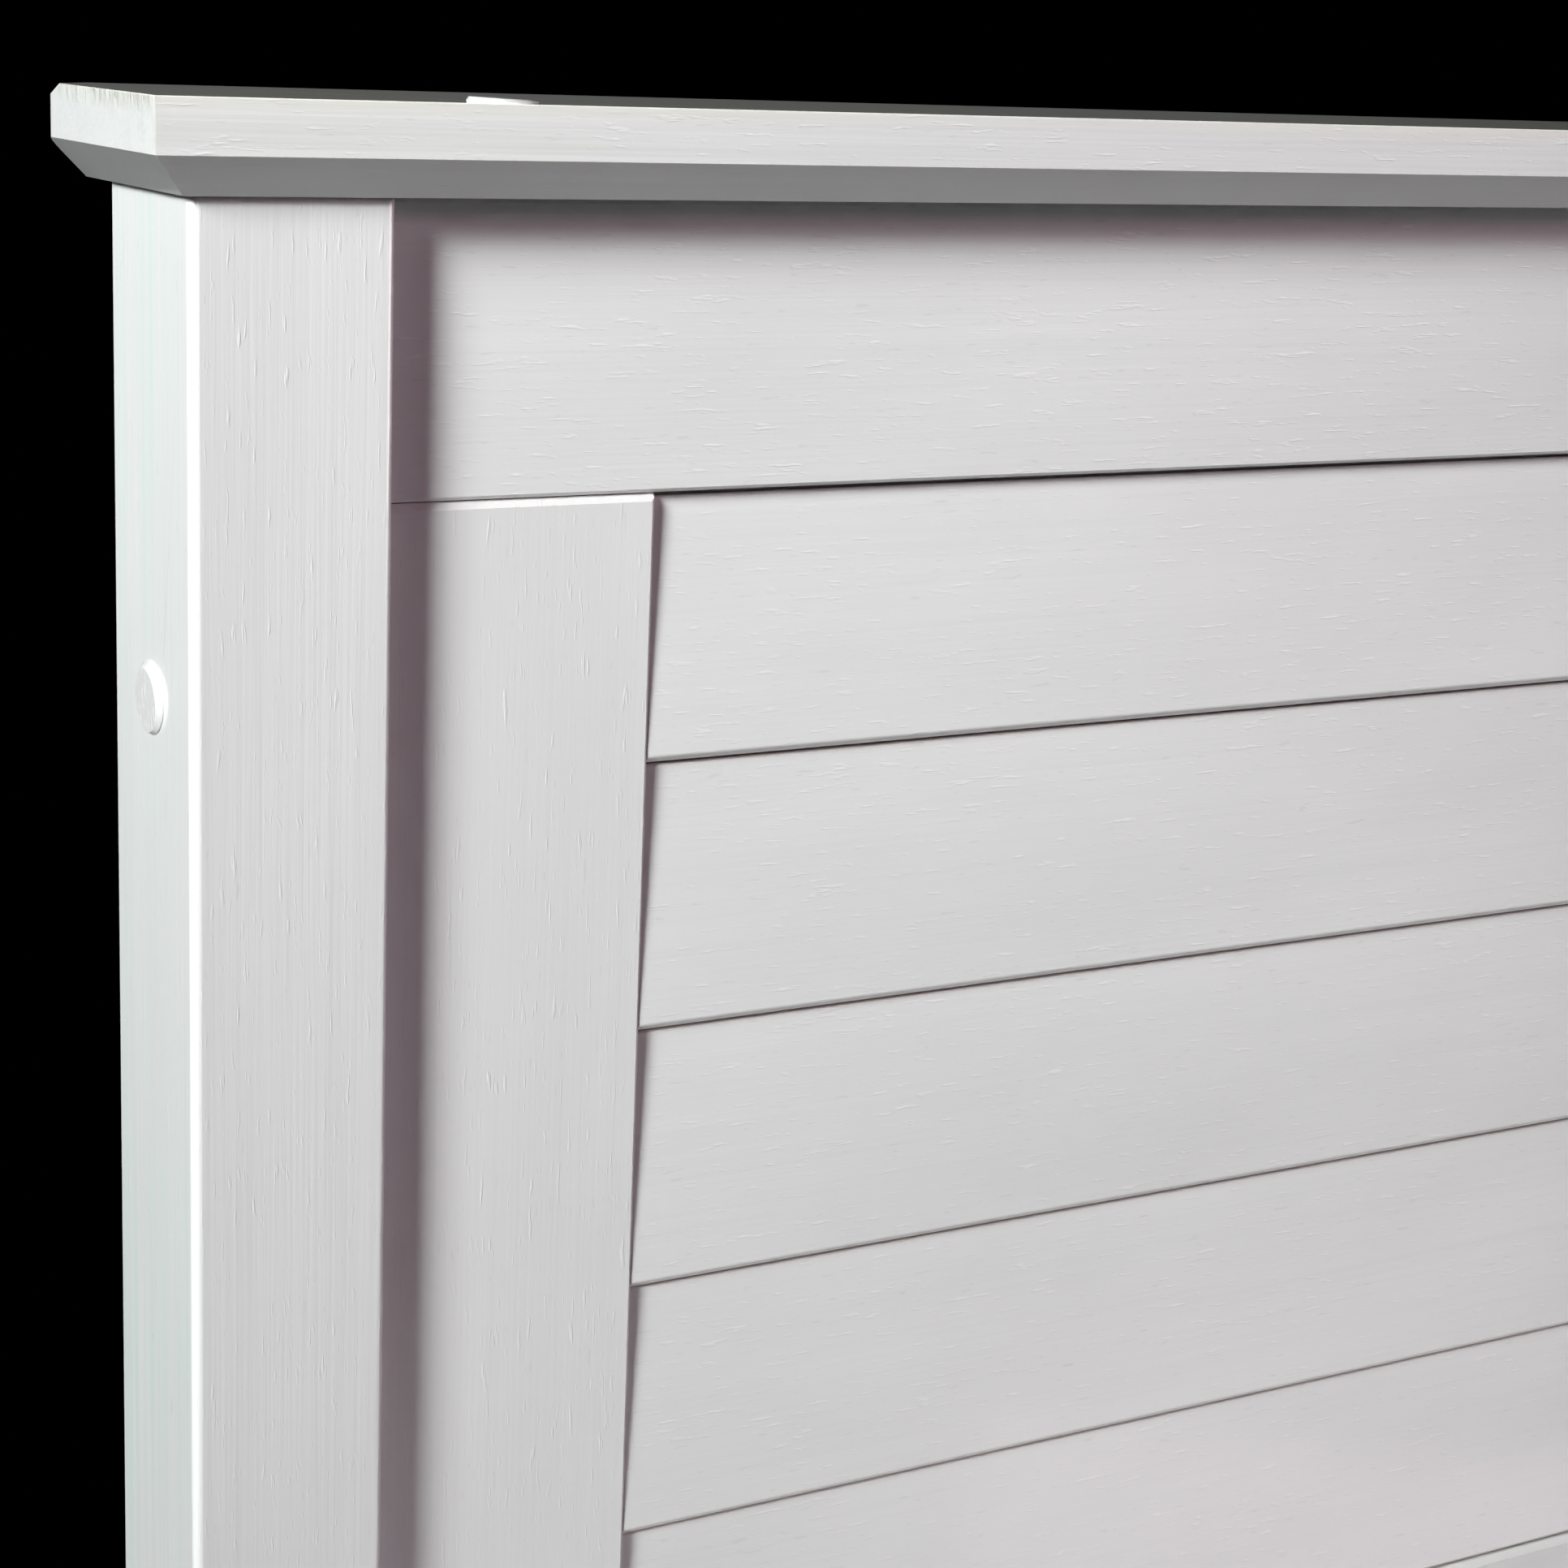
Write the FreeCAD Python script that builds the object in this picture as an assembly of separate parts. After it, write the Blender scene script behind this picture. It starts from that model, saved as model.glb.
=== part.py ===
import FreeCAD, Part
import math
import os

# Toy-box bench in white painted wood: a chest with a hinged lid and a tall slatted back.
# Millimetres. X runs along the bench, front is -Y, +Z is up.
# Origin: centre of the footprint, on the floor.

V = FreeCAD.Vector

# ---- driving dimensions -------------------------------------------------------------
WIDTH = 900.0            # length of the cap board and of the lid
DEPTH = 430.0            # lid front edge to cap board back edge
HEIGHT = 840.0           # floor to top of the cap board
SEAT_HEIGHT = 400.0      # floor to top of the closed lid

CAP_THICK = 19.0         # cap board and lid board stock
CAP_BEVEL = 8.0          # 45 degree bevel on the underside, front and ends
CAP_DEPTH = 68.0
CAP_OVERHANG = 10.0      # past the posts, at the front and at both ends
CAP_BACK_RADIUS = 2.5    # rounded back corners, seen from above
CAP_NIP_LONG = 8.5       # sanded tip of those corners: along the two top edges
CAP_NIP_DOWN = 3.2       # and down the corner
CAP_EASE = 0.2           # the cap board's top arris
LID_EASE = 1.2

POST_W = 43.0            # along X
POST_D = 49.0            # along Y
POST_ROUND = 2.0         # outer vertical arrises
POST_EASE = 1.8          # inner vertical arrises

FRAME_THICK = 20.0       # rails and stiles
FRAME_RECESS = 10.0      # frame face behind the post face
RAIL_H = 63.0            # visible height of a top rail
STILE_W = 65.0           # front and back stiles
SIDE_STILE_W = 45.0
EASE = 0.8               # small chamfer on rail and stile edges
TOP_EASE = 1.6           # larger chamfer on their upper edge
JOINT_GAP = 0.3          # hairline between stile end and rail

SLAT_TOP = 60.6          # height of the first slat below a top rail
SLAT_PITCH = 62.2        # height of each slat between the first and the last
SLAT_LAST = 66.6         # height of the last slat above a bottom rail
BACK_SLATS = 5
CHEST_SLATS = 3
SLAT_LIP = 0.6           # bottom edge of a slat, behind the stile face
SLAT_SET = 3.7           # top edge of a slat, behind the stile face
SLAT_BACK = 13.0         # back of a slat, behind the stile face
TONGUE_FRONT = 6.4       # front of the tongue behind the lip above
TONGUE_H = 8.0
SLAT_NOSE = 1.5          # bevel under the bottom edge
SHADOW_GAP = 0.7         # open line under each slat
RAIL_GAP = 1.3           # open line under a top rail
TENON = 6.0              # slat end in the stile groove
FIT = 0.15               # working clearance of the wood joints

FRAME_BOTTOM = 55.0      # bottom edge of the lower rails
MID_RAIL_H = 90.0        # back rail behind the lid
GLIDE_H = 4.0
GLIDE_R = 15.0

LID_GAP = 2.0            # rubber bumpers hold the lid off the rails
STRIP_DEPTH = 46.0       # fixed board behind the lid
HINGE_GAP = 2.0          # lid to fixed board
LID_PLANKS = 3
BATTEN_W = 40.0
BATTEN_H = 18.0
FLOOR_THICK = 12.0
CLEAT = 20.0

HINGE_X = (-300.0, 0.0, 300.0)
HINGE_LEN = 60.0
KNUCKLES = 5
BARREL_R = 3.0
PIN_R = 1.5
LEAF_T = 1.5
LEAF_H = 15.0

SCREW_R = 3.0
SCREW_HEAD_R = 5.0
SCREW_INTO_RAIL = 30.0
COUNTERBORE_R = 6.0
COUNTERBORE_D = 8.0
SCREW_CAP_R = 7.8        # foot of the plastic screw cap
SCREW_CAP_FACE_R = 6.7   # its flat face
SCREW_CAP_H = 1.3
CAP_FOOT = 0.3           # upright edge at the foot of a plastic cap
SIDE_SCREW_DROP = 122.5  # uppermost side screw, below the top of the cap board
PLUG_FROM_END = 74.7     # outer plugs on the cap board
PLUG_FROM_FRONT = 8.2
DOWEL_R = 4.0
DOWEL_LEN = 36.0
BUMPER_R = 5.0
SCOOP_W = 120.0          # finger scoop in the front rail
SCOOP_H = 14.0
SHEET_THICK = 9.0        # plain panel of the chest's back
PLUG_R = 7.3
PLUG_FACE_R = 6.3
PLUG_H = 0.8
BATTEN_X = 280.0
BATTEN_SCREW_R = 2.0

# ---- derived places -----------------------------------------------------------------
XE = WIDTH / 2.0                      # end of cap board and lid
XO = XE - CAP_OVERHANG                # outer face of the posts
XI = XO - POST_W                      # inner face of the posts
YF = -DEPTH / 2.0                     # lid front edge
YB = DEPTH / 2.0                      # cap board back edge
CAP_FRONT = YB - CAP_DEPTH
REAR_POST_F = CAP_FRONT + CAP_OVERHANG
FRONT_POST_F = YF + CAP_OVERHANG
FRONT_POST_B = FRONT_POST_F + POST_D
BACK_FACE = REAR_POST_F + FRAME_RECESS
FRONT_FACE = FRONT_POST_F + FRAME_RECESS
SIDE_FACE = XO - FRAME_RECESS
RAIL_TOP = SEAT_HEIGHT - CAP_THICK - LID_GAP
CAP_UNDER = HEIGHT - CAP_THICK
BACK_STACK = SLAT_TOP + (BACK_SLATS - 2) * SLAT_PITCH + SLAT_LAST
CHEST_STACK = SLAT_TOP + (CHEST_SLATS - 2) * SLAT_PITCH + SLAT_LAST
BACK_RAIL_LOW = CAP_UNDER - RAIL_H
MID_RAIL_TOP = BACK_RAIL_LOW - BACK_STACK
MID_RAIL_LOW = MID_RAIL_TOP - MID_RAIL_H
CHEST_RAIL_LOW = RAIL_TOP - RAIL_H
LOW_RAIL_TOP = CHEST_RAIL_LOW - CHEST_STACK
STRIP_BACK = REAR_POST_F - 0.5
STRIP_FRONT = STRIP_BACK - STRIP_DEPTH
LID_BACK = STRIP_FRONT - HINGE_GAP
HINGE_Y = STRIP_FRONT - HINGE_GAP / 2.0
HINGE_Z = SEAT_HEIGHT + BARREL_R + 0.2
FLOOR_LOW = FRAME_BOTTOM + CLEAT + 4.0
FRAME_MID = FRAME_THICK / 2.0
BATTEN_FRONT = FRONT_FACE + FRAME_THICK + 8.0
BATTEN_BACK = LID_BACK - 12.0


# ---- small building functions -------------------------------------------------------
def box(x0, x1, y0, y1, z0, z1):
    return Part.makeBox(x1 - x0, y1 - y0, z1 - z0, V(x0, y0, z0))


def rod(radius, start, direction, length):
    return Part.makeCylinder(radius, length, V(*start), V(*direction))


def prism(points, sweep):
    wire = Part.makePolygon([V(*p) for p in points] + [V(*points[0])])
    return Part.Face(wire).extrude(V(*sweep))


def fuse(shapes):
    first = shapes[0]
    return first.multiFuse(shapes[1:]).removeSplitter() if len(shapes) > 1 else first


def cut(shape, tools):
    return shape.cut(Part.makeCompound(tools)) if tools else shape


def edges_where(shape, test):
    return [e for e in shape.Edges if test(e)]


def along(edge, axis):
    if len(edge.Vertexes) != 2:
        return False
    d = edge.Vertexes[1].Point - edge.Vertexes[0].Point
    others = [abs(c) for i, c in enumerate((d.x, d.y, d.z)) if i != axis]
    return d.Length > 1.0 and max(others) < 1e-6


def at(edge, **place):
    c = edge.CenterOfMass
    return all(abs(getattr(c, k) - v) < 1e-4 for k, v in place.items())


def save(name, shape):
    solids = shape.Solids
    out = solids[0] if len(solids) == 1 else Part.makeCompound(solids)
    if not out.isValid():
        raise RuntimeError("invalid solid: " + name)
    out.exportStep("parts/" + name + ".step")
    print("%-26s %2d solid(s) %12.1f mm3" % (name, len(solids), out.Volume))


def mirror_x(shape):
    return shape.mirror(V(0, 0, 0), V(1, 0, 0))


# ---- frame stock --------------------------------------------------------------------
def front_slab(x0, x1, z0, z1):
    """Rail or stile lying in the XZ plane: face at y=0, back at y=FRAME_THICK."""
    slab = box(x0, x1, 0, FRAME_THICK, z0, z1)
    face_edges = edges_where(slab, lambda e: at(e, y=0) and not at(e, z=z1))
    slab = slab.makeChamfer(EASE, face_edges)
    corner = [(x0 - 1, -1, z1 + 1), (x0 - 1, -1, z1 - TOP_EASE - 1), (x0 - 1, TOP_EASE + 1, z1 + 1)]
    return slab.cut(prism(corner, (x1 - x0 + 2, 0, 0)))


def groove(x0, x1, z0, z1):
    """Slot that takes the slat tongues or tenons, in the same local place."""
    return box(x0, x1, TONGUE_FRONT - FIT, SLAT_BACK + FIT, z0, z1)


def slat_heights(top, count):
    """Bottom line of each slat, from the top of the stack down."""
    steps = [SLAT_TOP] + [SLAT_PITCH] * (count - 2) + [SLAT_LAST]
    lines = []
    level = top
    for step in steps:
        level -= step
        lines.append(level)
    return lines


def slat(x0, x1, top, bottom, gap, is_last):
    """One louvred slat, face at y=0: the lower edge stands forward of the upper one."""
    shoulder = top - gap
    low = bottom + (SHADOW_GAP if is_last else 0.0)
    heel = bottom - (TONGUE_H - 1.0 if is_last else -(TONGUE_H + 1.0))
    lip_back = TONGUE_FRONT - FIT
    outline = [
        (SLAT_LIP + SLAT_NOSE, low), (SLAT_LIP, low + SLAT_NOSE), (SLAT_SET - 0.5, shoulder - 0.6),
        (SLAT_SET, shoulder), (TONGUE_FRONT, shoulder), (TONGUE_FRONT, top + TONGUE_H),
        (SLAT_BACK, top + TONGUE_H), (SLAT_BACK, heel), (lip_back, heel), (lip_back, low)]
    if is_last:
        outline[8] = (TONGUE_FRONT, heel)
        outline[9] = (TONGUE_FRONT, low)
    body = prism([(x0, y, z) for y, z in outline], (x1 - x0, 0, 0))
    tenon_low = max(heel, bottom) + 0.5
    tenon = box(x0 - TENON, x1 + TENON, TONGUE_FRONT, SLAT_BACK, tenon_low, shoulder)
    return body.fuse(tenon).removeSplitter()


def slatted_frame(name, half, stile_w, top, count, low_name, low_h):
    """Top rail, low rail, two stiles and the slats of one frame, in the slab's local place."""
    inner = half - stile_w
    rail_low = top - RAIL_H
    lines = slat_heights(rail_low, count)
    low_top = lines[-1]
    rail = front_slab(-half, half, rail_low, top)
    low = front_slab(-half, half, low_top - low_h, low_top)
    parts = {}
    parts[name + "_top_rail"] = cut(rail, [groove(-inner, inner, rail_low - 1, rail_low + 9)])
    parts[name + low_name] = cut(low, [groove(-inner, inner, low_top - 8, low_top + 1)])
    for side, sign in (("left", -1), ("right", 1)):
        x0, x1 = sorted((sign * half, sign * inner))
        stile = front_slab(x0, x1, low_top + JOINT_GAP, rail_low - JOINT_GAP)
        g0, g1 = sorted((sign * (inner - 1), sign * (inner + TENON + 0.5)))
        parts[name + "_stile_" + side] = cut(stile, [groove(g0, g1, low_top, rail_low)])
    upper = rail_low
    for i, line in enumerate(lines):
        last = i == count - 1
        gap = SHADOW_GAP if i else RAIL_GAP
        made = slat(-inner + FIT, inner - FIT, upper, line, gap, last)
        parts["%s_slat_%d" % (name, i + 1)] = made
        upper = line
    return parts


# ---- screws, dowels and their holes --------------------------------------------------
def side_screw_places():
    rear_y = REAR_POST_F + POST_D / 2.0
    front_y = FRONT_POST_F + POST_D / 2.0
    low_z = (FRAME_BOTTOM + LOW_RAIL_TOP) / 2.0
    rear = [HEIGHT - SIDE_SCREW_DROP, MID_RAIL_LOW + MID_RAIL_H / 2.0, low_z]
    front = [RAIL_TOP - RAIL_H / 2.0, low_z]
    return [(rear_y, z) for z in rear] + [(front_y, z) for z in front]


def side_screw(y, z):
    """Left-hand screw: its head sits in the post's counterbore."""
    seat = -XO + COUNTERBORE_D
    head = rod(SCREW_HEAD_R, (seat - 4.0, y, z), (1, 0, 0), 4.0)
    socket = rod(2.0, (seat - 4.0, y, z), (1, 0, 0), 2.5)
    shank = rod(SCREW_R, (seat, y, z), (1, 0, 0), POST_W - COUNTERBORE_D + SCREW_INTO_RAIL)
    return head.cut(socket).fuse(shank).removeSplitter()


def side_screw_hole(y, z):
    bore = rod(COUNTERBORE_R, (-XO - 1.0, y, z), (1, 0, 0), COUNTERBORE_D + 1.0)
    hole = rod(SCREW_R + FIT, (-XO, y, z), (1, 0, 0), POST_W + SCREW_INTO_RAIL + 1.0)
    return bore.fuse(hole)


def pressed_cap(foot_r, face_r, height, stem_r, stem, lean):
    """Plastic cap standing on z=0, with its stem below.

    Pressed in a little askew: its face slips and tilts towards one side; lean is the slip,
    the tilt and the direction of that side.
    """
    slip, tilt, side = lean
    way = V(math.cos(math.radians(side)), math.sin(math.radians(side)), 0)
    normal = V(0, 0, 1) + way * math.tan(math.radians(tilt))
    foot = Part.Wire(Part.makeCircle(foot_r, V(0, 0, CAP_FOOT)))
    face = Part.Wire(Part.makeCircle(face_r, way * slip + V(0, 0, height), normal))
    cap = Part.makeLoft([foot, face], True)
    base = rod(foot_r, (0, 0, 0), (0, 0, 1), CAP_FOOT)
    return fuse([cap, base, rod(stem_r, (0, 0, -stem), (0, 0, 1), stem)])


def side_screw_cap(y, z, lean):
    cap = pressed_cap(SCREW_CAP_R, SCREW_CAP_FACE_R, SCREW_CAP_H, COUNTERBORE_R - 0.2, 3.0, lean)
    cap.rotate(V(0, 0, 0), V(0, 1, 0), -90)
    cap.translate(V(-XO, y, z))
    return cap


def both_sides(shapes):
    return shapes + [mirror_x(s) for s in shapes]


def dowel_places():
    """Start point and direction of every dowel, left half of the bench."""
    back_y = BACK_FACE + FRAME_MID
    front_y = FRONT_FACE + FRAME_MID
    side_x = -SIDE_FACE + FRAME_MID
    half = DOWEL_LEN / 2.0
    places = []
    for z in (BACK_RAIL_LOW + 14.0, CAP_UNDER - 14.0, MID_RAIL_LOW + 14.0, MID_RAIL_TOP - 14.0):
        places.append(((-XI - half, back_y, z), (1, 0, 0)))
    for z in (FRAME_BOTTOM + 14.0, LOW_RAIL_TOP - 14.0):
        places.append(((-XI - half, back_y, z), (1, 0, 0)))
        places.append(((-XI - half, front_y, z), (1, 0, 0)))
        places.append(((side_x, FRONT_POST_B - half, z + 5.0), (0, 1, 0)))
        places.append(((side_x, REAR_POST_F - half, z + 5.0), (0, 1, 0)))
    for z in (CHEST_RAIL_LOW + 12.0, RAIL_TOP - 12.0):
        places.append(((-XI - half, front_y, z), (1, 0, 0)))
        places.append(((side_x, FRONT_POST_B - half, z - 3.0), (0, 1, 0)))
        places.append(((side_x, REAR_POST_F - half, z - 3.0), (0, 1, 0)))
    places.append(((-XI - POST_W / 2.0, back_y, CAP_UNDER - DOWEL_LEN + 12.0), (0, 0, 1)))
    places.append(((-XI + 190.0, back_y, CAP_UNDER - DOWEL_LEN + 12.0), (0, 0, 1)))
    return places


def dowels(radius, extra):
    made = []
    for start, way in dowel_places():
        begin = [s - extra * w for s, w in zip(start, way)]
        made.append(rod(radius, begin, way, DOWEL_LEN + 2 * extra))
    return both_sides(made)


def screws_through(shape, screws):
    """Only the holes that meet this piece."""
    area = shape.BoundBox
    return [s for s in screws if area.intersect(s.BoundBox)]


def wood(name, shape):
    save(name, cut(shape, screws_through(shape, HOLES)))


# ---- pieces ---------------------------------------------------------------------------
def post(front_y, height):
    body = box(-XO, -XI, front_y, front_y + POST_D, GLIDE_H, height)
    outer = edges_where(body, lambda e: along(e, 2) and at(e, x=-XO))
    body = body.makeFillet(POST_ROUND, outer)
    inner = edges_where(body, lambda e: along(e, 2) and at(e, x=-XI))
    return body.makeFillet(POST_EASE, inner)


def bevelled_board(y0, y1, z1, thick, back_bevel):
    """Board with 45 degree bevels under its front edge and its two ends."""
    z0 = z1 - thick
    board = box(-XE, XE, y0, y1, z0, z1)
    low = z0 + CAP_BEVEL
    nose = prism([(-XE, y0, z0), (-XE, y0 + CAP_BEVEL, z0), (-XE, y0, low)], (2 * XE, 0, 0))
    end = prism([(-XE, y0, z0), (-XE + CAP_BEVEL, y0, z0), (-XE, y0, low)], (0, y1 - y0, 0))
    cuts = [end, mirror_x(end)]
    if back_bevel:
        cuts.append(nose)
    return cut(board, cuts)


def ease_top(board, z1, size):
    """Rounded arris round the whole upper edge."""
    return board.makeFillet(size, edges_where(board, lambda e: abs(e.BoundBox.ZMin - z1) < 1e-4))


def cap_board():
    board = bevelled_board(CAP_FRONT, YB, HEIGHT, CAP_THICK, True)
    corner = box(XE - CAP_BACK_RADIUS, XE + 1, YB - CAP_BACK_RADIUS, YB + 1, CAP_UNDER - 1, HEIGHT + 1)
    round_tool = rod(CAP_BACK_RADIUS, (XE - CAP_BACK_RADIUS, YB - CAP_BACK_RADIUS, CAP_UNDER - 2),
                     (0, 0, 1), CAP_THICK + 4)
    waste = corner.cut(round_tool)
    board = cut(board, [waste, mirror_x(waste)])
    board = ease_top(board, HEIGHT, CAP_EASE)
    return cut(board, both_sides([corner_nip()]))


def corner_nip():
    """Wedge that sanding takes off the tip of a back corner, right-hand side."""
    ends = [V(XE - CAP_NIP_LONG, YB, HEIGHT), V(XE, YB - CAP_NIP_LONG, HEIGHT),
            V(XE, YB, HEIGHT - CAP_NIP_DOWN)]
    middle = (ends[0] + ends[1] + ends[2]) / 3.0
    wide = [middle + (end - middle) * 1.5 for end in ends]
    normal = (wide[1] - wide[0]).cross(wide[2] - wide[0]).normalize()
    return Part.Face(Part.makePolygon(wide + [wide[0]])).extrude(normal * CAP_NIP_LONG)


def plug_places():
    outer = XE - PLUG_FROM_END
    return [(x, CAP_FRONT + PLUG_FROM_FRONT) for x in (-outer, 0.0, outer)]


def lid_planks():
    lid = bevelled_board(YF, LID_BACK, SEAT_HEIGHT, CAP_THICK, True)
    lid = ease_top(lid, SEAT_HEIGHT, LID_EASE)
    lid = cut(lid, [leaf_recess(x, -1) for x in HINGE_X])
    step = (LID_BACK - YF) / LID_PLANKS
    planks = []
    for i in range(LID_PLANKS):
        y0 = YF + i * step + (0.0 if i == 0 else 0.1)
        y1 = YF + (i + 1) * step - (0.0 if i == LID_PLANKS - 1 else 0.1)
        window = box(-XE - 1, XE + 1, y0, y1, SEAT_HEIGHT - CAP_THICK - 1, SEAT_HEIGHT + 1)
        planks.append(lid.common(window))
    return planks


def leaf_recess(x, side):
    """Notch for a hinge leaf in the lid edge (side -1) or in the fixed board edge (side 1)."""
    edge = LID_BACK if side < 0 else STRIP_FRONT
    y0 = edge - (LEAF_T + FIT) if side < 0 else edge - 1.0
    y1 = edge + 1.0 if side < 0 else edge + LEAF_T + FIT
    half = HINGE_LEN / 2.0 + FIT
    return box(x - half, x + half, y0, y1, SEAT_HEIGHT - LEAF_H - FIT, SEAT_HEIGHT + 1)


def knuckle_spans(x, moving):
    step = HINGE_LEN / KNUCKLES
    first = 1 if moving else 0
    return [(x - HINGE_LEN / 2.0 + i * step, step) for i in range(first, KNUCKLES, 2)]


def hinge_leaf(x, side):
    """Leaf let into the board edge, carried up to its knuckles round the pin."""
    edge = LID_BACK - LEAF_T if side < 0 else STRIP_FRONT
    outer = HINGE_Y + side * BARREL_R
    strap = sorted((outer, outer - side * LEAF_T))
    half = HINGE_LEN / 2.0
    pieces = [box(x - half, x + half, edge, edge + LEAF_T, SEAT_HEIGHT - LEAF_H, SEAT_HEIGHT)]
    for start, length in knuckle_spans(x, side < 0):
        x0 = start + 0.15
        x1 = start + length - 0.15
        pieces.append(rod(BARREL_R, (x0, HINGE_Y, HINGE_Z), (1, 0, 0), x1 - x0))
        pieces.append(box(x0, x1, strap[0], strap[1], SEAT_HEIGHT, HINGE_Z))
    leaf = fuse(pieces)
    bore = rod(PIN_R + 0.05, (x - half - 1, HINGE_Y, HINGE_Z), (1, 0, 0), HINGE_LEN + 2)
    others = [box(s, s + l, HINGE_Y - BARREL_R - 1, HINGE_Y + BARREL_R + 1,
                  SEAT_HEIGHT - 0.9, HINGE_Z + BARREL_R + 1)
              for s, l in knuckle_spans(x, side > 0)]
    return cut(leaf, [bore] + others)


def hinge_screw(x, side):
    """Countersunk screw through a leaf into the board edge; head flush with the leaf."""
    y0 = LID_BACK - 0.1 if side < 0 else STRIP_FRONT + 0.1
    way = (0, side, 0)
    z = SEAT_HEIGHT - LEAF_H / 2.0
    head = Part.makeCone(3.0, 1.5, 1.5, V(x, y0, z), V(*way))
    return head.fuse(rod(1.5, (x, y0, z), way, 16.0)).removeSplitter()


def hinge_screw_hole(x, side):
    y0 = LID_BACK - 0.05 if side < 0 else STRIP_FRONT + 0.05
    way = (0, side, 0)
    z = SEAT_HEIGHT - LEAF_H / 2.0
    head = Part.makeCone(3.1, 1.6, 1.55, V(x, y0, z), V(*way))
    mouth = rod(3.1, (x, y0 - side * 2.0, z), way, 2.0)
    return head.fuse([mouth, rod(1.6, (x, y0, z), way, 17.0)])


def hinge_screws(side):
    return [(x + dx, side) for x in HINGE_X for dx in (-18.0, 18.0)]


# ---- build ----------------------------------------------------------------------------
os.makedirs("parts", exist_ok=True)
HOLES = both_sides([side_screw_hole(y, z) for y, z in side_screw_places()])
HOLES += dowels(DOWEL_R + FIT / 2.0, 1.0)


def moved_y(shape, y):
    out = shape.copy()
    out.translate(V(0, y, 0))
    return out


def turned_to_left(shape):
    out = shape.copy()
    out.rotate(V(0, 0, 0), V(0, 0, 1), -90)
    out.translate(V(-SIDE_FACE, (FRONT_POST_B + REAR_POST_F) / 2.0, 0))
    return out


def build_posts():
    rear = post(REAR_POST_F, CAP_UNDER)
    front = post(FRONT_POST_F, RAIL_TOP)
    for label, left in (("rear_post", rear), ("front_post", front)):
        wood(label + "_left", left)
        wood(label + "_right", mirror_x(left))


def build_back():
    holes = [rod(2.6, (x, y, HEIGHT - 9.0), (0, 0, 1), 10.0) for x, y in plug_places()]
    wood("back_cap_board", cut(cap_board(), holes))
    half = XI - FIT
    frame = slatted_frame("back", half, STILE_W, CAP_UNDER, BACK_SLATS, "_mid_rail", MID_RAIL_H)
    for name, shape in frame.items():
        placed = moved_y(shape, BACK_FACE)
        if name == "back_mid_rail":
            placed = cut(placed, [sheet_groove(MID_RAIL_LOW - 1, MID_RAIL_LOW + 8.5)])
        wood(name, placed)
    low = moved_y(front_slab(-half, half, FRAME_BOTTOM, LOW_RAIL_TOP), BACK_FACE)
    wood("back_bottom_rail", cut(low, [sheet_groove(LOW_RAIL_TOP - 8.5, LOW_RAIL_TOP + 1)]))
    y0 = BACK_FACE + FRAME_MID - SHEET_THICK / 2.0
    sheet = box(-half, half, y0, y0 + SHEET_THICK, LOW_RAIL_TOP - 8, MID_RAIL_LOW + 8)
    save("back_lower_panel", sheet)


def sheet_groove(z0, z1):
    half = SHEET_THICK / 2.0 + FIT
    middle = BACK_FACE + FRAME_MID
    return box(-XI - 1, XI + 1, middle - half, middle + half, z0, z1)


def scoop():
    """Rounded finger scoop in the upper edge of the front rail."""
    depth = 6 * FRAME_THICK
    radius = (SCOOP_W ** 2 / 4.0 + SCOOP_H ** 2) / (2.0 * SCOOP_H)
    return rod(radius, (0, FRONT_FACE - depth / 2.0, RAIL_TOP - SCOOP_H + radius), (0, 1, 0), depth)


def build_front():
    low_h = LOW_RAIL_TOP - FRAME_BOTTOM
    frame = slatted_frame("front", XI - FIT, STILE_W, RAIL_TOP, CHEST_SLATS, "_bottom_rail", low_h)
    for name, shape in frame.items():
        placed = moved_y(shape, FRONT_FACE)
        if name == "front_top_rail":
            placed = cut(placed, [scoop()])
        wood(name, placed)


def build_sides():
    low_h = LOW_RAIL_TOP - FRAME_BOTTOM
    half = (REAR_POST_F - FRONT_POST_B) / 2.0 - FIT
    frame = slatted_frame("side", half, SIDE_STILE_W, RAIL_TOP, CHEST_SLATS, "_bottom_rail", low_h)
    for name, shape in frame.items():
        left = turned_to_left(shape)
        piece = name.replace("side_", "").replace("stile_left", "rear_stile")
        piece = piece.replace("stile_right", "front_stile")
        wood("left_side_" + piece, left)
        wood("right_side_" + piece, mirror_x(left))


def build_floor():
    front_in = FRONT_FACE + FRAME_THICK
    side_in = SIDE_FACE - FRAME_THICK
    z0 = FLOOR_LOW - CLEAT
    gap = 0.2
    front = box(-XI + gap, XI - gap, front_in, front_in + CLEAT, z0, FLOOR_LOW)
    back = moved_y(front, BACK_FACE - CLEAT - front_in)
    save("floor_cleats_long", Part.makeCompound([front, back]))
    y0 = front_in + CLEAT + gap
    short = box(-side_in, -side_in + CLEAT, y0, BACK_FACE - CLEAT - gap, z0, FLOOR_LOW)
    save("floor_cleats_short", Part.makeCompound(both_sides([short])))
    panel = box(-side_in + 1, side_in - 1, front_in + 1, BACK_FACE - 1,
                FLOOR_LOW, FLOOR_LOW + FLOOR_THICK)
    corners = [box(-XE, -XI + 1, y0, y1, FLOOR_LOW - 1, FLOOR_LOW + FLOOR_THICK + 1)
               for y0, y1 in ((YF, FRONT_POST_B + 1), (REAR_POST_F - 1, YB))]
    save("chest_floor_panel", cut(panel, both_sides(corners)))


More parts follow.
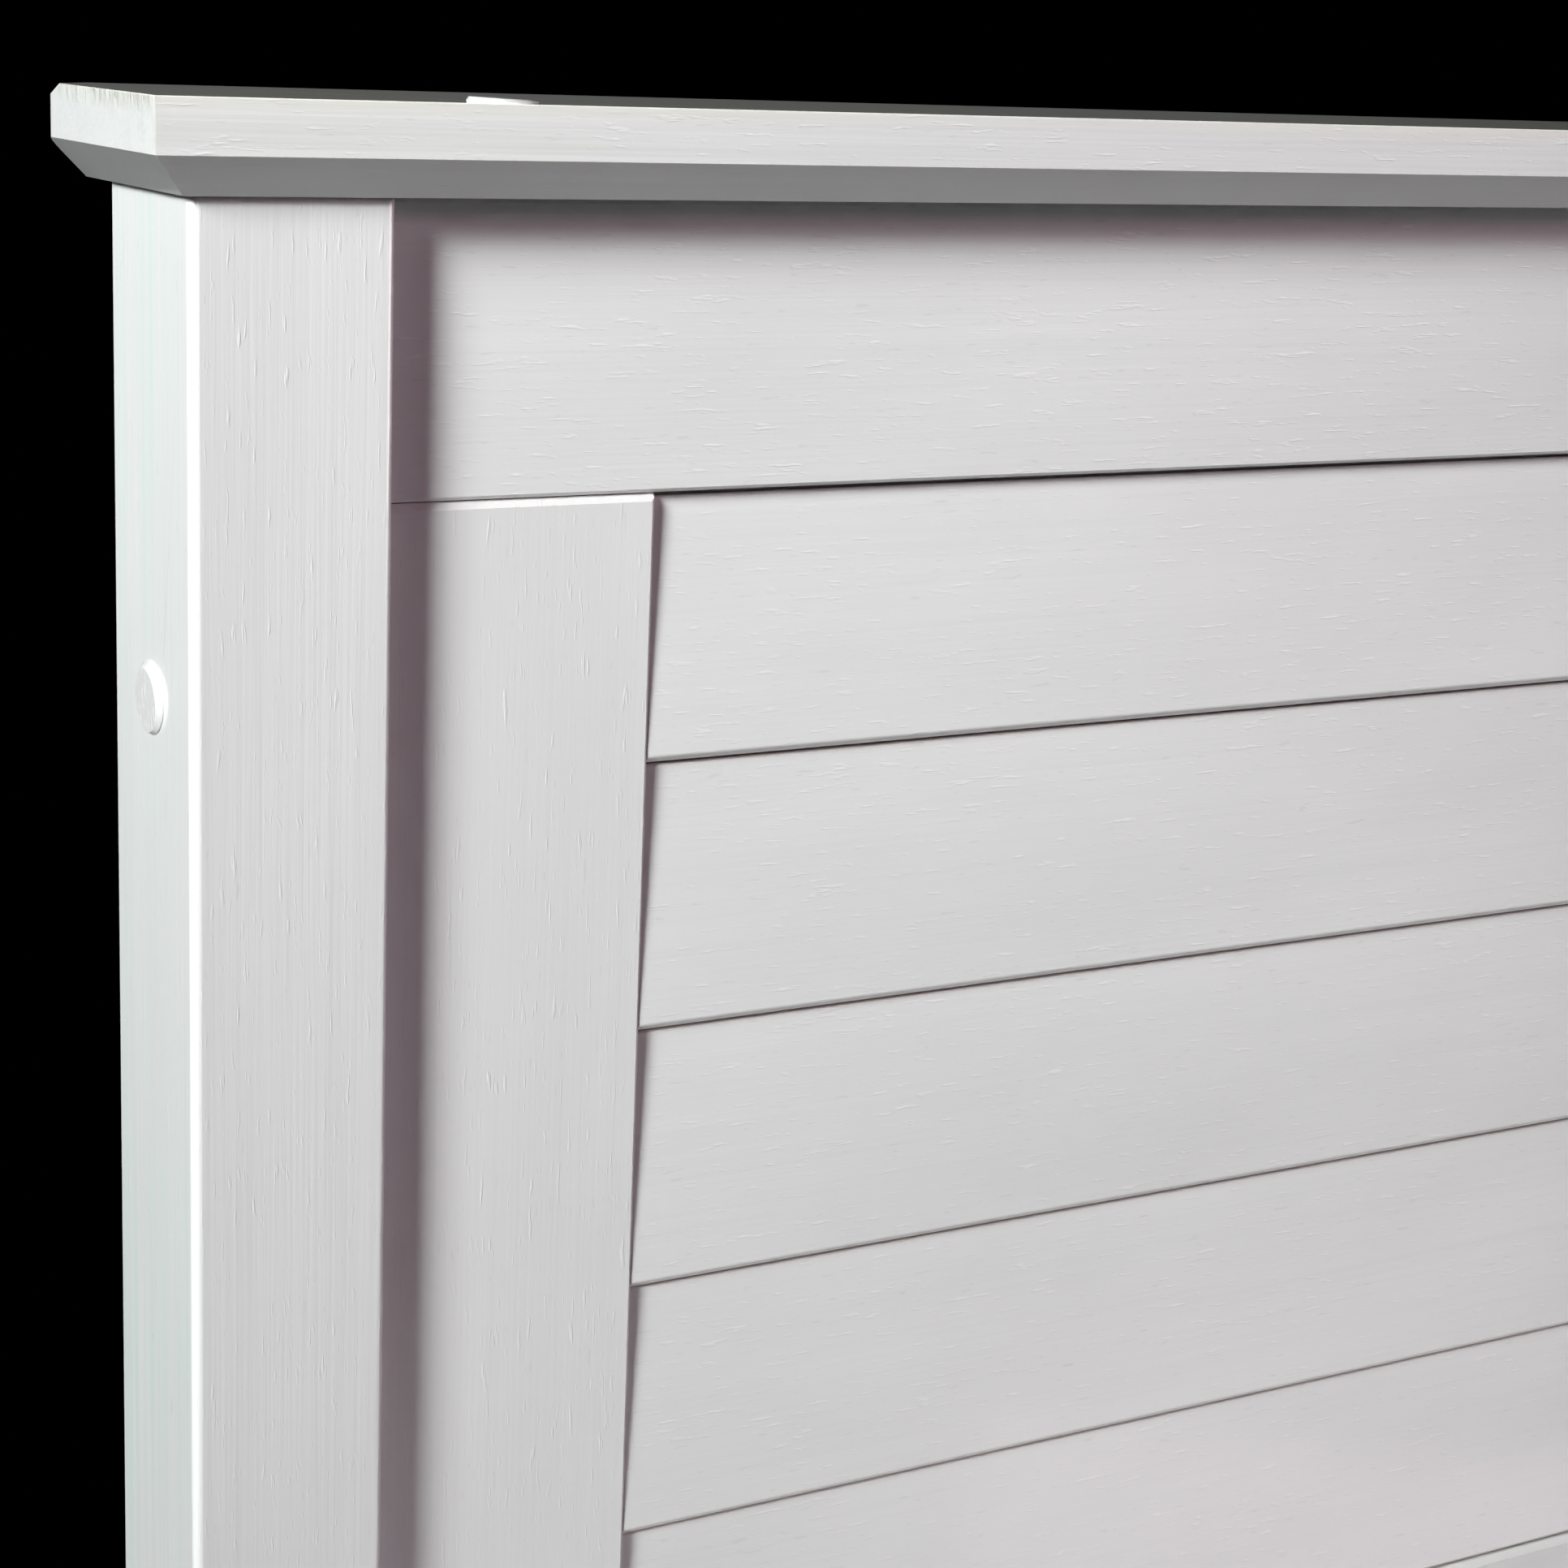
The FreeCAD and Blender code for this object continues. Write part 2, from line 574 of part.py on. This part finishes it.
def build_seat():
    strip = bevelled_board(STRIP_FRONT, STRIP_BACK, SEAT_HEIGHT, CAP_THICK + LID_GAP, False)
    strip = ease_top(strip, SEAT_HEIGHT, LID_EASE)
    cuts = [leaf_recess(x, 1) for x in HINGE_X]
    cuts += [hinge_screw_hole(x, side) for x, side in hinge_screws(1)]
    save("fixed_seat_strip", cut(strip, cuts))
    rest = box(-XI + 0.2, XI - 0.2, REAR_POST_F - 12, BACK_FACE, RAIL_TOP - CLEAT, RAIL_TOP)
    save("seat_strip_cleat", rest)
    lid_holes = [hinge_screw_hole(x, side) for x, side in hinge_screws(-1)]
    lid_holes += [h for h in batten_screws(BATTEN_SCREW_R + FIT, 0.5)]
    for name, plank in zip(("lid_front_plank", "lid_middle_plank", "lid_rear_plank"), lid_planks()):
        save(name, cut(plank, lid_holes))
    for name, x in batten_places():
        save(name, cut(lid_batten(x), batten_screws(BATTEN_SCREW_R + FIT, 0.5)))


def batten_places():
    return [("lid_batten_left", -BATTEN_X), ("lid_batten_right", BATTEN_X)]


def lid_batten(x):
    z1 = SEAT_HEIGHT - CAP_THICK
    body = box(x - BATTEN_W / 2, x + BATTEN_W / 2, BATTEN_FRONT, BATTEN_BACK, z1 - BATTEN_H, z1)
    return body.makeChamfer(3.0, edges_where(body, lambda e: abs(e.BoundBox.ZMax - z1 + BATTEN_H) < 1e-4))


def batten_screws(radius, extra):
    """Three screws up through each batten, one into each plank."""
    z0 = SEAT_HEIGHT - CAP_THICK - BATTEN_H
    step = (LID_BACK - YF) / LID_PLANKS
    made = []
    for name, x in batten_places():
        for i in range(LID_PLANKS):
            y = min(max(YF + (i + 0.5) * step, BATTEN_FRONT + 25), BATTEN_BACK - 25)
            head = Part.makeCone(radius * 2.0, radius, 3.0, V(x, y, z0), V(0, 0, 1))
            made.append(head.fuse(rod(radius, (x, y, z0), (0, 0, 1), 30.0 + extra)).removeSplitter())
    return made


def build_hardware():
    save("hinge_fixed_leaves", Part.makeCompound([with_screw_holes(x, 1) for x in HINGE_X]))
    save("hinge_moving_leaves", Part.makeCompound([with_screw_holes(x, -1) for x in HINGE_X]))
    pins = [rod(PIN_R, (x - HINGE_LEN / 2 - 0.8, HINGE_Y, HINGE_Z), (1, 0, 0), HINGE_LEN + 1.6)
            for x in HINGE_X]
    save("hinge_pins", Part.makeCompound(pins))
    save("hinge_screws_fixed", Part.makeCompound([hinge_screw(x, s) for x, s in hinge_screws(1)]))
    save("hinge_screws_lid", Part.makeCompound([hinge_screw(x, s) for x, s in hinge_screws(-1)]))
    save("lid_batten_screws", Part.makeCompound(batten_screws(BATTEN_SCREW_R, 0.0)))
    save("side_screws", Part.makeCompound(both_sides([side_screw(y, z) for y, z in side_screw_places()])))
    leans = ((0.75, 2.5, 155.0), (0.3, 1.5, -80.0), (0.4, 2.0, 10.0), (0.5, 2.0, 200.0), (0.2, 1.0, 60.0))
    caps = [side_screw_cap(y, z, lean) for (y, z), lean in zip(side_screw_places(), leans)]
    save("side_screw_caps", Part.makeCompound(both_sides(caps)))
    plugs = []
    leans = ((0.6, -1.8, 180.0), (0.2, 1.0, 60.0), (0.3, 1.5, -70.0))
    for (x, y), lean in zip(plug_places(), leans):
        plug = pressed_cap(PLUG_R, PLUG_FACE_R, PLUG_H, 2.5, 8.0, lean)
        plug.translate(V(x, y, HEIGHT))
        plugs.append(plug)
    save("cap_board_plugs", Part.makeCompound(plugs))
    save("frame_dowels", Part.makeCompound(dowels(DOWEL_R, 0.0)))
    save("lid_bumpers", Part.makeCompound(bumpers()))
    save("post_glides", Part.makeCompound(glides()))


def with_screw_holes(x, side):
    return cut(hinge_leaf(x, side), [hinge_screw_hole(x + dx, side) for dx in (-18.0, 18.0)])


def bumpers():
    x = XI + POST_W / 2.0
    y = FRONT_POST_F + POST_D / 2.0
    side_x = SIDE_FACE - FRAME_MID
    places = [(-x, y), (x, y), (-side_x, LID_BACK - 40.0), (side_x, LID_BACK - 40.0)]
    return [rod(BUMPER_R, (px, py, RAIL_TOP), (0, 0, 1), LID_GAP - 0.1) for px, py in places]


def glides():
    x = XI + POST_W / 2.0
    ys = (FRONT_POST_F + POST_D / 2.0, REAR_POST_F + POST_D / 2.0)
    made = []
    for y in ys:
        foot = Part.makeCone(GLIDE_R - 2.0, GLIDE_R, GLIDE_H, V(-x, y, 0), V(0, 0, 1))
        made.append(foot)
    return both_sides(made)


build_posts()
build_back()
build_front()
build_sides()
build_floor()
build_seat()
build_hardware()
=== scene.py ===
"""Toy-box bench in white painted wood: looks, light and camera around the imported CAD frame."""
import math

import bpy
from mathutils import Matrix, Vector


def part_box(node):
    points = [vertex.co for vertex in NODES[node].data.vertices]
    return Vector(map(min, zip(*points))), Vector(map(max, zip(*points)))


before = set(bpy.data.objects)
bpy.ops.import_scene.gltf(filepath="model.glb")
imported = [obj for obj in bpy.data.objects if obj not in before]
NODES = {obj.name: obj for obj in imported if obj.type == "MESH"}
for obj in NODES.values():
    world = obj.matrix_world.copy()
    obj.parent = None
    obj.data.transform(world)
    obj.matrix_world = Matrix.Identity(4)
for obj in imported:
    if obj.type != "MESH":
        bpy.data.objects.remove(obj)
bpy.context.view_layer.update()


# ---- small helpers for node trees ----------------------------------------------------
class Tree:
    """A material's node tree, with short calls for the nodes used here."""

    def __init__(self, name):
        self.material = bpy.data.materials.new(name)
        self.material.use_nodes = True
        self.tree = self.material.node_tree
        self.tree.nodes.clear()
        self.out = self.tree.nodes.new("ShaderNodeOutputMaterial")
        self.shader = self.tree.nodes.new("ShaderNodeBsdfPrincipled")
        self.join(self.shader, "BSDF", self.out, "Surface")

    def join(self, a, a_name, b, b_name):
        self.tree.links.new(a.outputs[a_name], b.inputs[b_name])

    def feed(self, socket, value):
        if hasattr(value, "links"):
            self.tree.links.new(value, socket)
        else:
            socket.default_value = value

    def set(self, **constants):
        for key, value in constants.items():
            self.shader.inputs[key.replace("_", " ")].default_value = value

    def node(self, kind, **inputs):
        made = self.tree.nodes.new(kind)
        for key, value in inputs.items():
            self.feed(made.inputs[key.replace("_", " ")], value)
        return made

    def math(self, operation, a, b=0.0):
        made = self.tree.nodes.new("ShaderNodeMath")
        made.operation = operation
        self.feed(made.inputs[0], a)
        self.feed(made.inputs[1], b)
        return made.outputs[0]

    def place(self, scale, shift=37.0):
        """Object coordinates, moved by a random amount for each piece, then scaled."""
        place = self.tree.nodes.new("ShaderNodeTexCoord")
        info = self.tree.nodes.new("ShaderNodeObjectInfo")
        move = self.math("MULTIPLY", info.outputs["Random"], shift)
        add = self.tree.nodes.new("ShaderNodeVectorMath")
        add.operation = "ADD"
        self.feed(add.inputs[0], place.outputs["Object"])
        self.feed(add.inputs[1], move)
        mapping = self.tree.nodes.new("ShaderNodeMapping")
        self.feed(mapping.inputs["Vector"], add.outputs[0])
        mapping.inputs["Scale"].default_value = scale
        return mapping.outputs["Vector"]

    def noise(self, vector, detail=4.0, roughness=0.55):
        made = self.node("ShaderNodeTexNoise", Vector=vector, Scale=1.0, Detail=detail,
                         Roughness=roughness)
        return made.outputs["Fac"]

    def range(self, value, low, high, to_low=0.0, to_high=1.0):
        made = self.tree.nodes.new("ShaderNodeMapRange")
        made.clamp = True
        for i, v in enumerate((value, low, high, to_low, to_high)):
            self.feed(made.inputs[i], v)
        return made.outputs["Result"]

    def mix(self, amount, a, b, blend="MIX"):
        made = self.tree.nodes.new("ShaderNodeMix")
        made.data_type = "RGBA"
        made.blend_type = blend
        self.feed(made.inputs["Factor"], amount)
        self.feed(made.inputs["A"], a)
        self.feed(made.inputs["B"], b)
        return made.outputs["Result"]

    def bump(self, height, distance, strength):
        made = self.node("ShaderNodeBump", Height=height, Distance=distance, Strength=strength)
        return made.outputs["Normal"]

    def edges(self, radius):
        """About 1 on an arris and 0 on a flat face."""
        soft = self.tree.nodes.new("ShaderNodeBevel")
        soft.samples = 6
        soft.inputs["Radius"].default_value = radius
        plain = self.tree.nodes.new("ShaderNodeNewGeometry")
        dot = self.tree.nodes.new("ShaderNodeVectorMath")
        dot.operation = "DOT_PRODUCT"
        self.feed(dot.inputs[0], soft.outputs["Normal"])
        self.feed(dot.inputs[1], plain.outputs["True Normal"])
        return self.range(dot.outputs["Value"], 0.995, 0.9)

    def height(self):
        """Height above the floor."""
        place = self.tree.nodes.new("ShaderNodeTexCoord")
        parts = self.node("ShaderNodeSeparateXYZ", Vector=place.outputs["Object"])
        return parts.outputs["Z"]

    def facing(self, axis):
        """1 on the faces square to an axis of the row frame."""
        plain = self.tree.nodes.new("ShaderNodeNewGeometry")
        parts = self.node("ShaderNodeSeparateXYZ", Vector=plain.outputs["True Normal"])
        return self.range(self.math("ABSOLUTE", parts.outputs[axis]), 0.96, 0.99)

    def facing_down(self):
        """1 on undersides and bevels under an edge, where the paint colour is darkened as painted
        shade.
        """
        plain = self.tree.nodes.new("ShaderNodeNewGeometry")
        parts = self.node("ShaderNodeSeparateXYZ", Vector=plain.outputs["True Normal"])
        return self.range(parts.outputs["Z"], -0.4, -0.6)


def rgb(r, g, b):
    return (r, g, b, 1.0)


def along(axis, lengthwise, crosswise):
    """Scale of a pattern stretched along one axis of the row frame."""
    return tuple(lengthwise if i == axis else crosswise for i in range(3))


# ---- materials ------------------------------------------------------------------------
X, Y, Z = 0, 1, 2

COAT = 1.0              # clear top coat of the paint
COAT_ROUGH = 0.06
WORN_RADIUS = 0.0009    # width of the worn line along an arris
TORN_HEIGHT = 0.0035    # torn end grain, below the cap board's top

PAINT_DULL = rgb(0.800, 0.800, 0.800)
PAINT_FRESH = rgb(0.860, 0.860, 0.858)
FIBRE_GREY = rgb(0.66, 0.67, 0.67)
FLECK_PALE = rgb(0.92, 0.92, 0.92)
FLECK_DARK = rgb(0.62, 0.62, 0.63)
ARRIS_CREAM = rgb(0.84, 0.83, 0.74)
WORN_BROWN = rgb(0.60, 0.52, 0.36)
TOP_CREAM = rgb(0.84, 0.84, 0.76)
TORN_GREY = rgb(0.50, 0.49, 0.44)
# painted shade: the grey that undersides and the bevel under the cap board's edge are darkened
# towards
UNDERSIDE_PAINTED_SHADE = rgb(0.60, 0.63, 0.61)
BARE_END = rgb(0.42, 0.34, 0.26)

COOL = rgb(0.62, 0.80, 0.77)
NEUTRAL = rgb(0.74, 0.75, 0.76)
STREAK = rgb(0.70, 0.705, 0.69)


def painted_wood(name, axis, tint, tint_amount, grain=1.0, bare=None, sides_only=False,
                 top=None):
    """White paint over planed pine: fibre lines, brush marks, flecks, furrow tint, worn arrises.

    grain says how much of the fibre shows through the paint;
    bare names the axis whose faces stay out of the paint, inside a joint;
    sides_only keeps the furrow tint to the faces that look left and right;
    top is the height of an upper edge where the paint is creamy and the end grain torn; with it,
    undersides and bevels get painted shade.
    """
    t = Tree(name)
    fibre = t.noise(t.place(along(axis, 9.0, 900.0)), detail=5.0, roughness=0.6)
    furrow = t.noise(t.place(along(axis, 3.0, 210.0), 53.0), detail=4.0, roughness=0.6)
    brush = t.noise(t.place(along(axis, 22.0, 1500.0), 71.0), detail=2.0)
    cloud = t.noise(t.place(along(axis, 7.0, 20.0), 19.0), detail=4.0)
    fleck = t.noise(t.place(along(axis, 130.0, 900.0), 29.0), detail=2.0)
    speck = t.noise(t.place((800.0, 800.0, 800.0), 5.0), detail=2.0)
    base = t.mix(t.range(cloud, 0.3, 0.7), PAINT_DULL, PAINT_FRESH)
    band = t.math("MULTIPLY", t.range(furrow, 0.45, 0.70), t.range(cloud, 0.35, 0.62))
    if sides_only:
        side = t.math("ADD", t.math("MULTIPLY", t.facing(X), 0.85), 0.15)
        band = t.math("MULTIPLY", band, side)
    base = t.mix(t.math("MULTIPLY", band, tint_amount), base, tint)
    base = t.mix(t.range(fibre, 0.28, 0.52, 0.30 * grain, 0.0), base, FIBRE_GREY)
    base = t.mix(t.range(fleck, 0.67, 0.74, 0.0, 0.5), base, FLECK_PALE)
    base = t.mix(t.range(fleck, 0.27, 0.32, 0.3, 0.0), base, FLECK_DARK)
    arris = t.edges(WORN_RADIUS)
    base = t.mix(t.math("MULTIPLY", arris, 0.45), base, ARRIS_CREAM)
    worn = t.math("MULTIPLY", arris, t.range(speck, 0.56, 0.66))
    base = t.mix(t.math("MULTIPLY", worn, 0.5), base, WORN_BROWN)
    torn = None
    if top is not None:
        near = t.range(t.height(), top - TORN_HEIGHT, top)
        tick = t.noise(t.place((60.0, 520.0, 150.0), 41.0), detail=3.0, roughness=0.65)
        torn = t.math("MULTIPLY", t.math("MULTIPLY", near, t.facing(X)), t.range(tick, 0.47, 0.62))
        cream = t.math("MULTIPLY", near, t.range(cloud, 0.35, 0.6, 0.25, 0.7))
        base = t.mix(cream, base, TOP_CREAM)
        base = t.mix(t.math("MULTIPLY", torn, 0.45), base, TORN_GREY)
        # painted shade: faces looking down, such as the bevel under the cap's front edge, are
        # darkened in the colour
        base = t.mix(t.math("MULTIPLY", t.facing_down(), 0.6), base, UNDERSIDE_PAINTED_SHADE)
    if bare is not None:
        base = t.mix(t.math("MULTIPLY", t.facing(bare), 0.8), base, BARE_END)
    t.feed(t.shader.inputs["Base Color"], base)
    t.feed(t.shader.inputs["Roughness"], t.range(brush, 0.3, 0.7, 0.34, 0.48))
    height = t.math("MULTIPLY", fibre, 0.5 * grain)
    height = t.math("ADD", height, t.math("MULTIPLY", furrow, 0.8 * grain))
    height = t.math("ADD", height, t.math("MULTIPLY", brush, 0.12))
    height = t.math("ADD", height, t.math("MULTIPLY", t.range(fleck, 0.62, 0.74), 0.5))
    height = t.math("ADD", height, t.math("MULTIPLY", t.math("MULTIPLY", arris, speck), 0.9))
    if torn is not None:
        height = t.math("ADD", height, t.math("MULTIPLY", torn, 3.0))
    t.feed(t.shader.inputs["Normal"], t.bump(height, 0.00022, 0.6))
    t.set(Specular_IOR_Level=0.4, Coat_Weight=COAT, Coat_Roughness=COAT_ROUGH)
    return t.material


def bare_pine(name, axis, light, dark):
    """Planed pine with growth rings and fine fibre."""
    t = Tree(name)
    wobble = t.noise(t.place(along(axis, 1.5, 14.0), 11.0), detail=2.0)
    wave = t.node("ShaderNodeTexWave", Vector=t.place(along(axis, 0.6, 26.0), 3.0), Scale=4.0,
                  Distortion=3.0, Detail=2.0)
    wave.wave_type = "RINGS"
    t.feed(wave.inputs["Phase Offset"], t.math("MULTIPLY", wobble, 9.0))
    fibre = t.noise(t.place(along(axis, 8.0, 800.0)), detail=4.0)
    base = t.mix(t.range(wave.outputs["Fac"], 0.35, 0.95), light, dark)
    base = t.mix(t.range(fibre, 0.3, 0.6, 0.35, 0.0), base, dark)
    t.feed(t.shader.inputs["Base Color"], base)
    t.feed(t.shader.inputs["Roughness"], t.range(fibre, 0.3, 0.7, 0.62, 0.5))
    t.feed(t.shader.inputs["Normal"], t.bump(fibre, 0.0002, 0.5))
    return t.material


def moulded_white(name):
    """Glossy moulded plastic with a faint orange peel and handling scratches."""
    t = Tree(name)
    peel = t.noise(t.place((700.0, 700.0, 700.0)), detail=1.0)
    scratch = t.noise(t.place((90.0, 1400.0, 260.0), 29.0), detail=2.0)
    base = t.mix(t.range(peel, 0.3, 0.7), rgb(0.70, 0.69, 0.70), rgb(0.75, 0.74, 0.74))
    t.feed(t.shader.inputs["Base Color"], base)
    t.feed(t.shader.inputs["Roughness"], t.range(scratch, 0.45, 0.7, 0.16, 0.32))
    t.feed(t.shader.inputs["Normal"], t.bump(peel, 0.00004, 0.5))
    t.set(Subsurface_Weight=0.25, Subsurface_Radius=(0.002, 0.002, 0.0017), Specular_IOR_Level=0.5)
    return t.material


def satin_metal(name, colour, axis):
    """Plated steel: fine rolling lines and slightly dull patches."""
    t = Tree(name)
    lines = t.noise(t.place(along(axis, 40.0, 2600.0)), detail=3.0)
    patch = t.noise(t.place((120.0, 120.0, 120.0), 13.0), detail=3.0)
    dull = rgb(*(c * 0.72 for c in colour))
    t.feed(t.shader.inputs["Base Color"], t.mix(t.range(patch, 0.4, 0.7), rgb(*colour), dull))
    rough = t.math("ADD", t.range(lines, 0.3, 0.7, 0.22, 0.36), t.range(patch, 0.4, 0.8, 0.0, 0.12))
    t.feed(t.shader.inputs["Roughness"], rough)
    t.feed(t.shader.inputs["Normal"], t.bump(lines, 0.00003, 0.5))
    t.set(Metallic=1.0)
    return t.material


def dull_polymer(name, colour, rough):
    """Rubber or nylon: fine stipple and dusty patches."""
    t = Tree(name)
    stipple = t.noise(t.place((1200.0, 1200.0, 1200.0)), detail=2.0)
    dust = t.noise(t.place((150.0, 150.0, 150.0), 17.0), detail=3.0)
    pale = rgb(*(min(1.0, c * 1.15) for c in colour))
    t.feed(t.shader.inputs["Base Color"], t.mix(t.range(dust, 0.4, 0.7), rgb(*colour), pale))
    t.feed(t.shader.inputs["Roughness"], t.range(dust, 0.3, 0.7, rough, rough + 0.15))
    t.feed(t.shader.inputs["Normal"], t.bump(stipple, 0.00008, 0.5))
    return t.material


PAINT = {
    X: painted_wood("white_paint_along_bench", X, NEUTRAL, 0.22, grain=0.45),
    Y: painted_wood("white_paint_front_to_back", Y, NEUTRAL, 0.22, grain=0.4),
    Z: painted_wood("white_paint_upright", Z, COOL, 0.6, grain=0.8, sides_only=True),
}
CAP_PAINT = painted_wood("white_paint_cap", X, STREAK, 0.75, grain=0.9,
                         top=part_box("back_cap_board")[1].z)
STILE_PAINT = painted_wood("white_paint_stile", Z, NEUTRAL, 0.22, grain=0.35, bare=Z)
SLAT_PAINT = {
    X: painted_wood("white_paint_slat_along", X, NEUTRAL, 0.2, grain=0.3, bare=Z),
    Y: painted_wood("white_paint_slat_across", Y, NEUTRAL, 0.2, grain=0.3, bare=Z),
}
PAINTS = list(PAINT.values()) + [CAP_PAINT, STILE_PAINT] + list(SLAT_PAINT.values())
PINE = {axis: bare_pine("bare_pine_%s" % label, axis, rgb(0.66, 0.47, 0.27), rgb(0.45, 0.27, 0.12))
        for axis, label in ((X, "x"), (Y, "y"))}
DOWEL = bare_pine("dowel_beech", X, rgb(0.60, 0.42, 0.26), rgb(0.42, 0.27, 0.15))
PLASTIC = moulded_white("moulded_white_plastic")
HINGE = satin_metal("hinge_nickel", (0.74, 0.73, 0.70), X)
SCREW = satin_metal("screw_zinc", (0.62, 0.63, 0.64), Y)
RUBBER = dull_polymer("bumper_rubber", (0.62, 0.62, 0.60), 0.55)
NYLON = dull_polymer("glide_nylon", (0.34, 0.34, 0.33), 0.5)


def grain_axis(node):
    """The longest side of a piece: its grain runs that way."""
    low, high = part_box(node)
    size = high - low
    return max(range(3), key=lambda i: size[i])


def finish_for(node):
    """The material of a piece, from what the piece is."""
    if node in ("side_screw_caps", "cap_board_plugs"):
        return PLASTIC
    if "screws" in node:
        return SCREW
    if node.startswith("hinge_"):
        return HINGE
    if node == "lid_bumpers":
        return RUBBER
    if node == "post_glides":
        return NYLON
    if node == "frame_dowels":
        return DOWEL
    if node in ("chest_floor_panel", "floor_cleats_long"):
        return PINE[X]
    if node == "floor_cleats_short":
        return PINE[Y]
    if node == "back_cap_board":
        return CAP_PAINT
    if "stile" in node:
        return STILE_PAINT
    if "_slat_" in node:
        return SLAT_PAINT[grain_axis(node)]
    return PAINT[grain_axis(node)]


ARRIS = 0.0006
SHARP_ARRIS = 0.00025             # the cap board's edges are crisper
ARRIS_ANGLE = math.radians(38)    # a fillet's own facets stay as they are
SAME_POINT = 0.000002


def soften(obj, width):
    """The tiny rounding that paint and sanding leave on every arris."""
    weld = obj.modifiers.new("weld", "WELD")
    weld.merge_threshold = SAME_POINT
    bevel = obj.modifiers.new("arris", "BEVEL")
    bevel.width = width
    bevel.segments = 2
    bevel.limit_method = "ANGLE"
    bevel.angle_limit = ARRIS_ANGLE
    bevel.harden_normals = True


for label, obj in NODES.items():
    paint = finish_for(label)
    obj.data.materials.clear()
    obj.data.materials.append(paint)
    if paint in PAINTS:
        soften(obj, SHARP_ARRIS if label == "back_cap_board" else ARRIS)


# ---- camera ---------------------------------------------------------------------------
def aim(obj, yaw, pitch, roll):
    """Yaw from +Y towards +X, pitch above level, roll anticlockwise, in degrees."""
    heading = Matrix.Rotation(math.radians(-yaw), 4, "Z")
    tilt = Matrix.Rotation(math.radians(90 + pitch), 4, "X")
    lean = Matrix.Rotation(math.radians(roll), 4, "Z")
    obj.rotation_mode = "QUATERNION"
    obj.rotation_quaternion = (heading @ tilt @ lean).to_quaternion()


SENSOR_MM = 36.0
LENS_MM = 72.25
CAMERA_FROM_CORNER = Vector((-0.1949, -0.5791, 0.0189))
CAMERA_YAW = 30.15
CAMERA_PITCH = -13.69
CAMERA_ROLL = 2.38

cap_low, cap_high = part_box("back_cap_board")
corner = Vector((cap_low.x, cap_low.y, cap_high.z))
lens = bpy.data.cameras.new("camera")
lens.sensor_width = SENSOR_MM
lens.lens = LENS_MM
camera = bpy.data.objects.new("camera", lens)
bpy.context.collection.objects.link(camera)
camera.location = corner + CAMERA_FROM_CORNER
aim(camera, CAMERA_YAW, CAMERA_PITCH, CAMERA_ROLL)
bpy.context.scene.camera = camera


# ---- floor, world and lights ----------------------------------------------------------
FLOOR_RADIUS = 1.12
FLOOR_SIDES = 96


def studio_floor():
    """A plain pale disc under the bench."""
    mesh = bpy.data.meshes.new("studio_floor")
    turns = [2 * math.pi * i / FLOOR_SIDES for i in range(FLOOR_SIDES)]
    rim = [(FLOOR_RADIUS * math.cos(a), FLOOR_RADIUS * math.sin(a), 0.0) for a in turns]
    mesh.from_pydata(rim, [], [tuple(range(FLOOR_SIDES))])
    floor = bpy.data.objects.new("studio_floor", mesh)
    bpy.context.collection.objects.link(floor)
    t = Tree("studio_floor_paint")
    grain = t.noise(t.place((60.0, 60.0, 60.0)), detail=3.0)
    pale = t.mix(grain, rgb(0.60, 0.60, 0.60), rgb(0.64, 0.64, 0.64))
    t.feed(t.shader.inputs["Base Color"], pale)
    t.set(Roughness=0.85)
    mesh.materials.append(t.material)


def area_light(name, place, target, size, height, watts, colour=(1.0, 1.0, 1.0), spread=180.0,
               shiny=True):
    """Soft box that the camera never sees; shiny says whether gloss mirrors it."""
    data = bpy.data.lights.new(name, "AREA")
    data.shape = "RECTANGLE"
    data.size = size
    data.size_y = height
    data.energy = watts
    data.color = colour
    data.spread = math.radians(spread)
    light = bpy.data.objects.new(name, data)
    bpy.context.collection.objects.link(light)
    light.location = place
    light.visible_camera = False
    light.visible_glossy = shiny
    light.rotation_mode = "QUATERNION"
    light.rotation_quaternion = (Vector(target) - Vector(place)).to_track_quat("-Z", "Y")


world = bpy.data.worlds.new("dark_studio")
world.use_nodes = True
world.node_tree.nodes["Background"].inputs["Color"].default_value = rgb(0.0, 0.0, 0.0)
bpy.context.scene.world = world

studio_floor()

KEY_AZIMUTH = math.radians(59.5)    # from straight in front, towards the left
KEY_HEIGHT = math.radians(25)
KEY_DISTANCE = 2.0
KEY_WHITE = (0.965, 1.0, 0.985)
PINK = (1.0, 0.66, 0.80)
key_target = corner + Vector((-0.04, 0.0, 0.17))
toward_key = Vector((-math.sin(KEY_AZIMUTH) * math.cos(KEY_HEIGHT),
                     -math.cos(KEY_AZIMUTH) * math.cos(KEY_HEIGHT), math.sin(KEY_HEIGHT)))
area_light("key", key_target + toward_key * KEY_DISTANCE, key_target,
           size=0.65, height=1.0, watts=4.56, colour=KEY_WHITE, spread=27.0)
area_light("side_fill", (1.5, -1.6, 1.5), (-0.36, 0.16, 0.87),
           size=1.0, height=0.5, watts=0.95, colour=PINK, spread=50.0)
area_light("low_front", (-0.7, -2.2, 0.35), (0.0, -0.2, 0.0),
           size=1.2, height=0.2, watts=0.7, spread=16.0, shiny=False)
area_light("left_side", (-2.3, 0.3, 0.35), (-0.45, -0.02, 0.28),
           size=0.8, height=0.4, watts=0.5, spread=16.0, shiny=False)
area_light("right_side", (2.4, 0.55, 0.42), (0.4, 0.0, 0.36),
           size=1.3, height=0.76, watts=16.0, shiny=False)
area_light("back_side", (0.1, 2.4, 0.42), (0.0, 0.1, 0.36),
           size=2.0, height=0.76, watts=26.0, shiny=False)

view_settings = bpy.context.scene.view_settings
view_settings.view_transform = "Standard"
